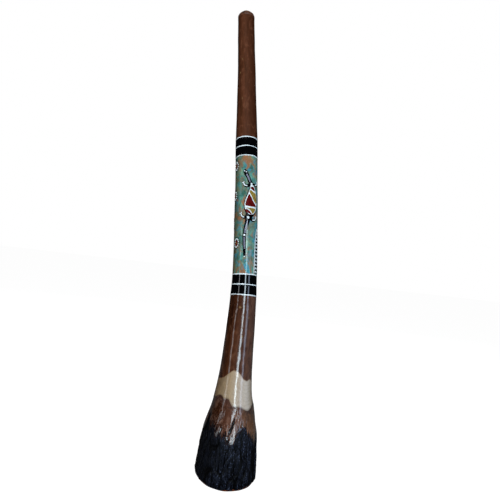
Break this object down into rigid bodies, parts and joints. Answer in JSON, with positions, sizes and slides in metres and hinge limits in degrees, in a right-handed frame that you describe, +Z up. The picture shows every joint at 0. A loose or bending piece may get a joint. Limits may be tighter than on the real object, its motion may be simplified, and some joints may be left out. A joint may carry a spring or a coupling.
{
  "type": "didgeridoo",
  "caption": "Long hollow-log wind instrument: a narrow wax-ringed mouth end, a painted waist and a flared bell left in its natural bark.",
  "frame": {"origin": "on the floor, under the middle of the whole log's box; the bell's rim centre is at x 21.7, y -47.8 mm", "axes": "+Z up from the bell's rim towards the mouth end, -Y towards the painted front, +X to its right"},
  "size_m": [0.195, 0.247, 1.2938],
  "materials": {
    "heartwood": "dark brown heartwood, sanded and varnished: satin at the mouth end, glossy above the bell",
    "sapwood": "cream to grey-beige sapwood with nested growth lines, under gloss varnish",
    "inner_bark": "reddish brown inner bark with curved grain and pits, under gloss varnish",
    "outer_bark": "near-black furrowed outer bark, semi-gloss",
    "beeswax": "dark brown beeswax, soft satin",
    "black_paint": "black acrylic paint under clear varnish",
    "white_paint": "white acrylic paint under clear varnish",
    "teal_paint": "dry-brushed teal, blue, green and orange-brown acrylic paint, satin",
    "red_paint": "dark red acrylic paint, satin"
  },
  "bodies": {
    "root": {"heartwood_bell": "heartwood", "heartwood_foot": "heartwood", "heartwood_waist_low": "heartwood", "heartwood_waist_high": "heartwood", "heartwood_shoulder": "heartwood", "heartwood_mouth_end": "heartwood", "sapwood_layer": "sapwood", "inner_bark_layer": "inner_bark", "outer_bark": "outer_bark", "beeswax_mouthpiece": "beeswax", "panel_base_coat": "teal_paint", "dotted_strip": "black_paint", "painted_figure": "red_paint", "upper_white_line_1": "white_paint", "upper_white_line_2": "white_paint", "upper_white_line_3": "white_paint", "upper_black_band_1": "black_paint", "upper_black_band_2": "black_paint", "lower_white_line_1": "white_paint", "lower_white_line_2": "white_paint", "lower_white_line_3": "white_paint", "lower_black_band_1": "black_paint", "lower_black_band_2": "black_paint", "roundel_1": "red_paint", "roundel_2": "red_paint", "roundel_3": "red_paint", "roundel_4": "red_paint"}
  },
  "joints": []
}
